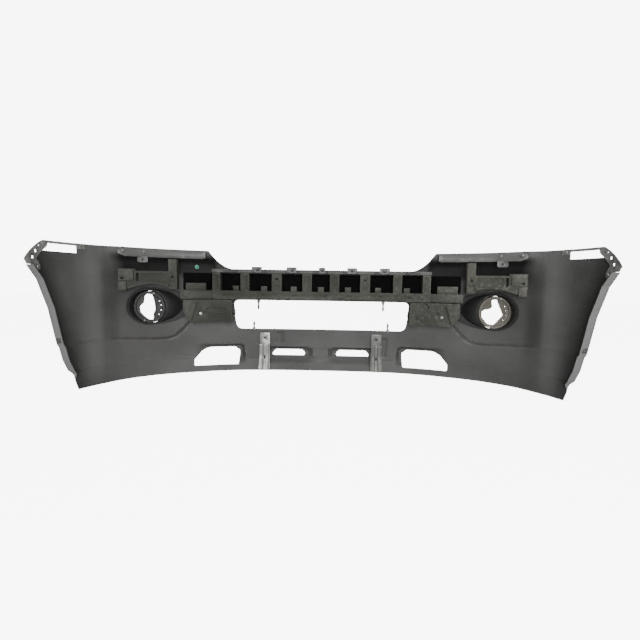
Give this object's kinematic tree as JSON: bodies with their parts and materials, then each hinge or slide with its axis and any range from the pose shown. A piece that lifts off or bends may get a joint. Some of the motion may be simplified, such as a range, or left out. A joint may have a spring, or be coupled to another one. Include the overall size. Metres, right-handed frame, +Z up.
{
  "type": "front bumper cover",
  "caption": "Front bumper cover of a large off-road car with its absorber carriers, fog lamp housings, headlamp sills, steel stays and clips, finished from the inside.",
  "frame": {"origin": "under the middle of the cover, on the level its lower edge rests on", "axes": "+X across the car, to the right when seen from behind the cover; +Y ahead, out of the nose; +Z up"},
  "size_m": [1.9994, 0.652, 0.5781],
  "materials": {
    "skin_plastic": "moulded grey thermoplastic, satin, dusty",
    "bucket_plastic": "dark moulded plastic",
    "ring_plastic": "dusty grey moulded plastic",
    "carrier_plastic": "dusty grey-green moulded plastic",
    "sill_plastic": "light grey moulded plastic",
    "stay_steel": "zinc-coated sheet steel",
    "spring_steel": "dark phosphated spring steel",
    "screw_steel": "zinc-plated steel",
    "foam_black": "black energy-absorbing foam",
    "rivet_green": "green moulded plastic"
  },
  "bodies": {
    "root": {"absorber_centre": "carrier_plastic", "absorber_end_left": "carrier_plastic", "absorber_end_right": "carrier_plastic", "arch_nut_left": "spring_steel", "arch_nut_right": "spring_steel", "cover_skin": "skin_plastic", "flank_panel_left": "carrier_plastic", "flank_panel_right": "carrier_plastic", "flank_screw_left": "screw_steel", "flank_screw_right": "screw_steel", "foam_core": "foam_black", "foam_end_left": "foam_black", "foam_end_right": "foam_black", "fog_bucket_left": "bucket_plastic", "fog_bucket_right": "bucket_plastic", "fog_ring_left": "ring_plastic", "fog_ring_right": "ring_plastic", "fog_screw_left_1": "screw_steel", "fog_screw_left_2": "screw_steel", "fog_screw_right_1": "screw_steel", "fog_screw_right_2": "screw_steel", "grille_rail": "skin_plastic", "headlamp_sill_left": "sill_plastic", "headlamp_sill_right": "sill_plastic", "lower_stay_left": "stay_steel", "lower_stay_right": "stay_steel", "push_pin_body": "rivet_green", "push_pin_core": "rivet_green", "retainer_screw_front_left": "screw_steel", "retainer_screw_front_right": "screw_steel", "retainer_screw_rear_left": "screw_steel", "retainer_screw_rear_right": "screw_steel", "sill_rivet_inner_left": "screw_steel", "sill_rivet_inner_right": "screw_steel", "sill_rivet_outer_left": "screw_steel", "sill_rivet_outer_right": "screw_steel", "spring_clip_lower_left": "spring_steel", "spring_clip_lower_right": "spring_steel", "spring_clip_upper_left": "spring_steel", "spring_clip_upper_right": "spring_steel", "stay_rivet_left": "screw_steel", "stay_rivet_right": "screw_steel", "top_nut_1": "spring_steel", "top_nut_2": "spring_steel", "top_nut_3": "spring_steel", "top_nut_4": "spring_steel", "top_nut_5": "spring_steel", "wing_retainer_left": "sill_plastic", "wing_retainer_right": "sill_plastic"}
  },
  "joints": []
}
